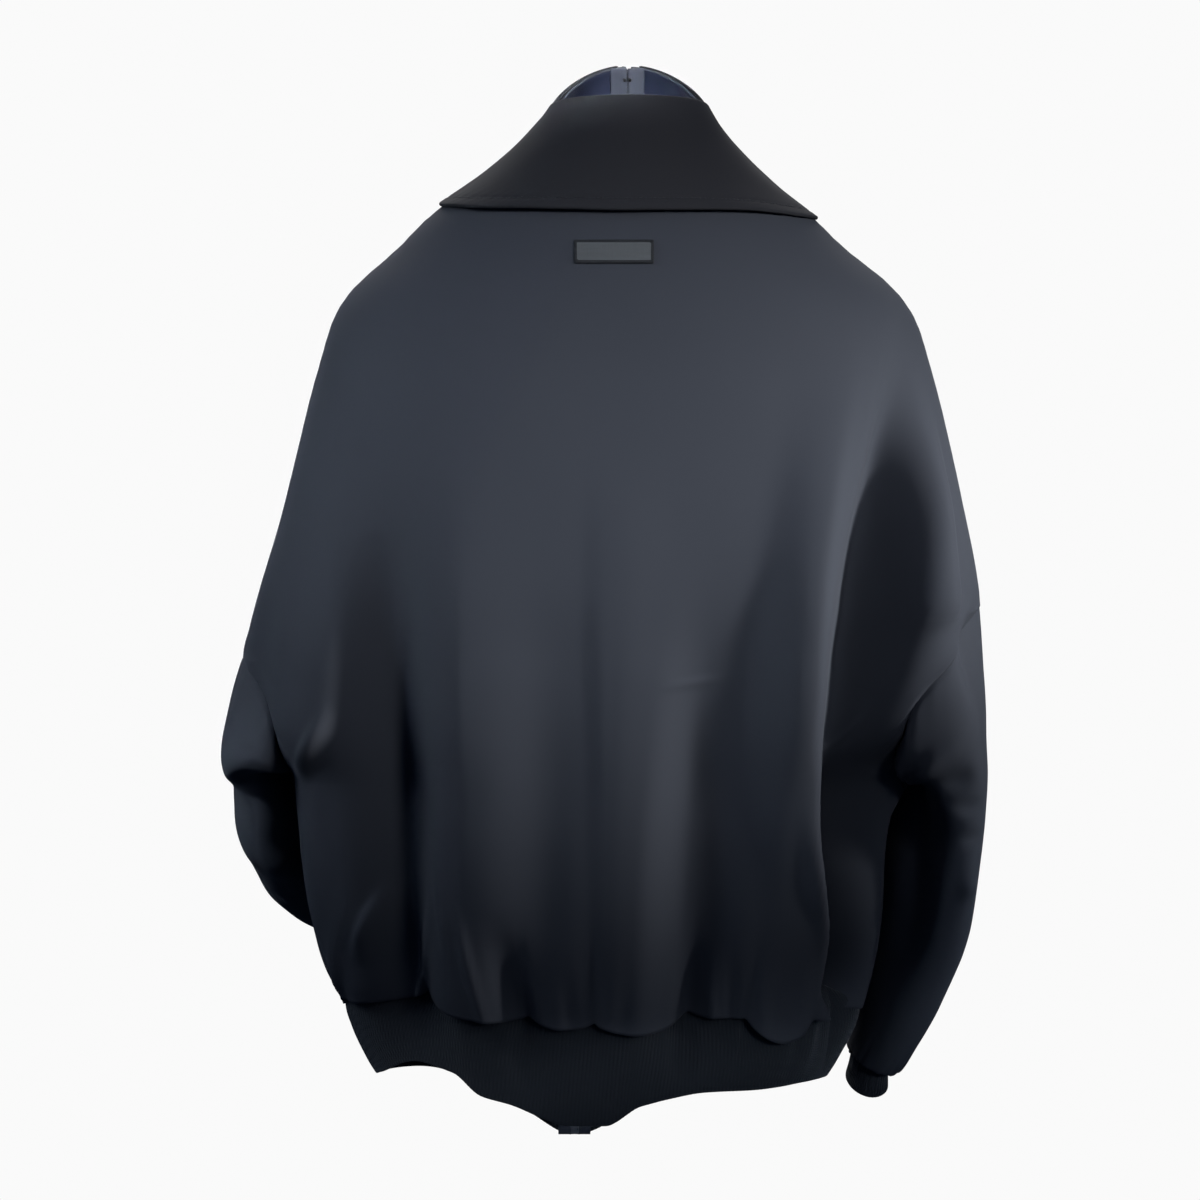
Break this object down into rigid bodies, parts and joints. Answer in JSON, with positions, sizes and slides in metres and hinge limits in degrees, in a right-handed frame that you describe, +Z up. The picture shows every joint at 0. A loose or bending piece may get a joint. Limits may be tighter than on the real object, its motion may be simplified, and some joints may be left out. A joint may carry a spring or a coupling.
{
  "type": "track jacket",
  "caption": "Boxy blouson track jacket worn hollow: drop shoulders, fold-down knit collar, full front zip, knit cuffs and hem band, plain patch on the upper back.",
  "frame": {"origin": "between the shoulders at the base of the neck, level with the side of the neckline, where a wearer holds the jacket up", "axes": "+Z up, -Y towards the front of the jacket, +X towards the wearer's left"},
  "size_m": [0.5928, 0.3796, 0.8688],
  "materials": {
    "satin": "dark navy satin with a soft sheen",
    "knit": "matte near-black rib knit",
    "tape": "matte woven zip tape and black moulded teeth",
    "metal": "dark polished metal",
    "patch": "matte grey woven patch, plain"
  },
  "bodies": {
    "jacket": {"back": "satin", "front_left": "satin", "front_right": "satin", "sleeve_left": "satin", "sleeve_right": "satin", "cuff_left": "knit", "cuff_right": "knit", "hem_band": "knit", "neckband": "satin", "collar_fall": "knit", "zip_left": "tape", "zip_right": "tape", "zip_slider": "metal", "back_patch": "patch"},
    "pull": {"zip_pull": "metal"}
  },
  "joints": [
    {"name": "pull_swing", "type": "hinge", "parent": "jacket", "child": "pull", "pos_m": [-0.012, -0.0673, 0.04389], "axis": [-1, 0, 0], "range_deg": [0, 120]}
  ]
}
